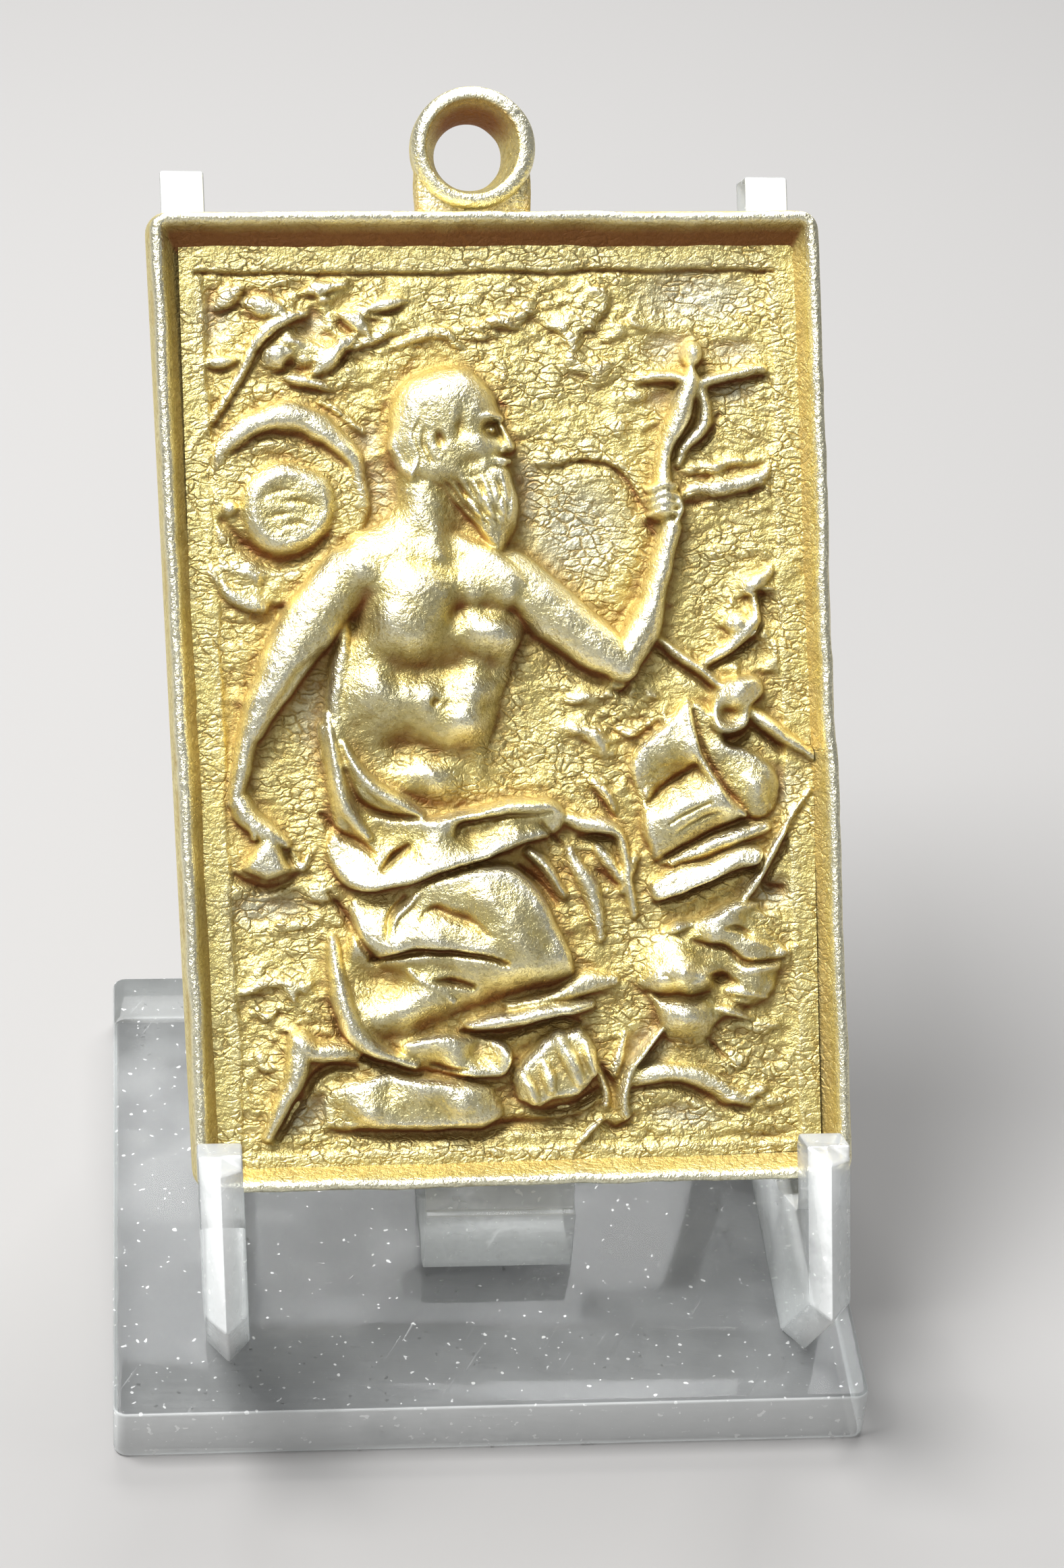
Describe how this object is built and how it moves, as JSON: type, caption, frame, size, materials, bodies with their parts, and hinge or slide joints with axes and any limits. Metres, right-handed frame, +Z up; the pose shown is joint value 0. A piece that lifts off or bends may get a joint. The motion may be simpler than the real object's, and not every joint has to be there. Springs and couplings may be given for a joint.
{
  "type": "devotional plaque",
  "caption": "Cast gilt-metal devotional plaque with a suspension loop, in relief with a kneeling saint and a crucifix, leaning in a clear acrylic cradle.",
  "frame": {"origin": "centre of the base plate's underside", "axes": "+Z up, the relief faces -Y and leans back towards +Y, +X to the right of the relief"},
  "size_m": [0.055, 0.0621, 0.0816],
  "materials": {
    "acrylic": "clear, polished faces and milky edges",
    "gilt_metal": "worn gilding, bright on the high points and olive brown in the ground"
  },
  "bodies": {
    "root": {"base_plate": "acrylic", "strut": "acrylic", "arm_left": "acrylic", "arm_right": "acrylic", "plaque": "gilt_metal"}
  },
  "joints": []
}
